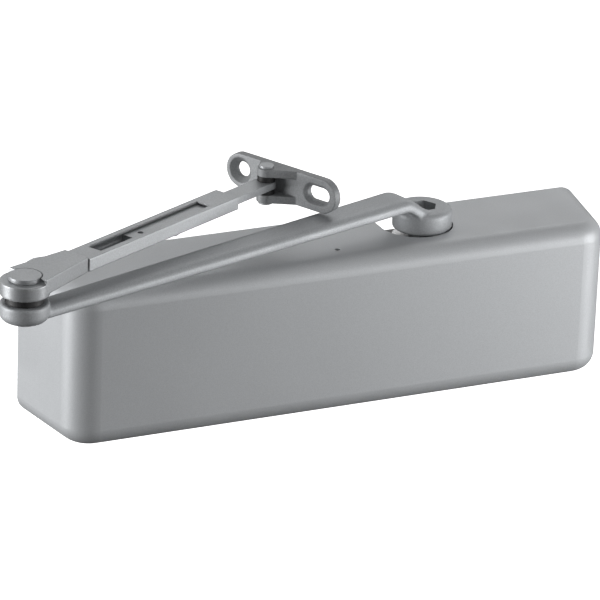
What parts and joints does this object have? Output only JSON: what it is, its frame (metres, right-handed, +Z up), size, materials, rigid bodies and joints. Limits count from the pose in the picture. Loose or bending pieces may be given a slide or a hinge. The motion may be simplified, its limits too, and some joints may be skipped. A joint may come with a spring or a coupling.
{
  "type": "door closer",
  "caption": "Surface door closer: box cover over a rack and pinion body, forged main arm, sliding forearm with a slotted channel, and a two-hole foot bracket.",
  "frame": {"origin": "middle of the body's four mounting holes, on the face against the door", "axes": "+X along the cover, +Y into the door, +Z up along the spindle"},
  "size_m": [0.3664, 0.1287, 0.1257],
  "materials": {
    "cover_paint": "satin silver-grey paint",
    "cast_body": "cast, machined where it seals",
    "machined_steel": "machined",
    "spring_steel": "oiled",
    "arm_paint": "grey enamel on forged and pressed steel",
    "zinc_steel": "zinc plated",
    "brass": "machined",
    "seal_rubber": "matt",
    "dark_nylon": "matt",
    "grey_plastic": "satin"
  },
  "bodies": {
    "closer": {"cover": "cover_paint", "spindle_plug": "grey_plastic", "cover_screws": "zinc_steel", "closer_body": "cast_body", "pinion_bearing_upper": "machined_steel", "pinion_bearing_lower": "machined_steel", "pinion_cap_upper": "zinc_steel", "pinion_cap_lower": "zinc_steel", "pinion_seal_upper": "seal_rubber", "pinion_seal_lower": "seal_rubber", "main_spring": "spring_steel", "spring_seat": "machined_steel", "end_plug_left": "zinc_steel", "end_plug_right": "zinc_steel", "end_ring_left": "seal_rubber", "end_ring_right": "seal_rubber"},
    "spindle": {"pinion": "machined_steel", "main_arm": "arm_paint", "knuckle_stud": "arm_paint", "knuckle_washer": "dark_nylon"},
    "piston_set": {"piston": "machined_steel", "piston_ring": "seal_rubber", "check_valve": "brass"},
    "forearm": {"forearm_elbow": "arm_paint", "forearm_channel": "arm_paint", "knuckle_bush": "brass", "elbow_rivets": "zinc_steel"},
    "rod": {"forearm_rod": "arm_paint", "clamp_screws": "zinc_steel"},
    "foot": {"foot_bracket": "arm_paint", "foot_pin": "arm_paint", "foot_bushes": "dark_nylon"},
    "sweep_needle": {"sweep_valve": "brass"},
    "latch_needle": {"latch_valve": "brass"},
    "backcheck_needle": {"backcheck_valve": "brass"},
    "adjuster": {"spring_adjuster": "zinc_steel"}
  },
  "joints": [
    {"name": "arm_swing", "type": "hinge", "parent": "closer", "child": "spindle", "pos_m": [0.057, -0.023, 0], "axis": [0, 0, 1], "range_deg": [-15, 155]},
    {"name": "piston_travel", "type": "slide", "parent": "closer", "child": "piston_set", "axis": [-1, 0, 0], "range_m": [-0.0024, 0.0244], "deforming": ["main_spring"]},
    {"name": "knuckle", "type": "hinge", "parent": "spindle", "child": "forearm", "pos_m": [-0.19499, -0.09899, 0.07], "axis": [0, 0, 1], "continuous": true},
    {"name": "rod_slide", "type": "slide", "parent": "forearm", "child": "rod", "axis": [0.891, 0.454, 0], "range_m": [-0.022, 0.028]},
    {"name": "foot_turn", "type": "hinge", "parent": "rod", "child": "foot", "pos_m": [-0.02927, -0.01454, 0.0727], "axis": [0, 0, 1], "range_deg": [-70, 70]},
    {"name": "sweep_turn", "type": "hinge", "parent": "closer", "child": "sweep_needle", "pos_m": [0.104, -0.045, 0], "axis": [0, -1, 0], "range_deg": [-360, 360]},
    {"name": "latch_turn", "type": "hinge", "parent": "closer", "child": "latch_needle", "pos_m": [0.086, -0.045, 0], "axis": [0, -1, 0], "range_deg": [-360, 360]},
    {"name": "backcheck_turn", "type": "hinge", "parent": "closer", "child": "backcheck_needle", "pos_m": [-0.03, -0.045, 0], "axis": [0, -1, 0], "range_deg": [-360, 360]},
    {"name": "power_turn", "type": "hinge", "parent": "closer", "child": "adjuster", "pos_m": [-0.13, -0.023, 0], "axis": [1, 0, 0], "continuous": true}
  ],
  "couplings": [
    {"joint": "piston_travel", "follows": "arm_swing", "m_per_rad": 0.009}
  ]
}
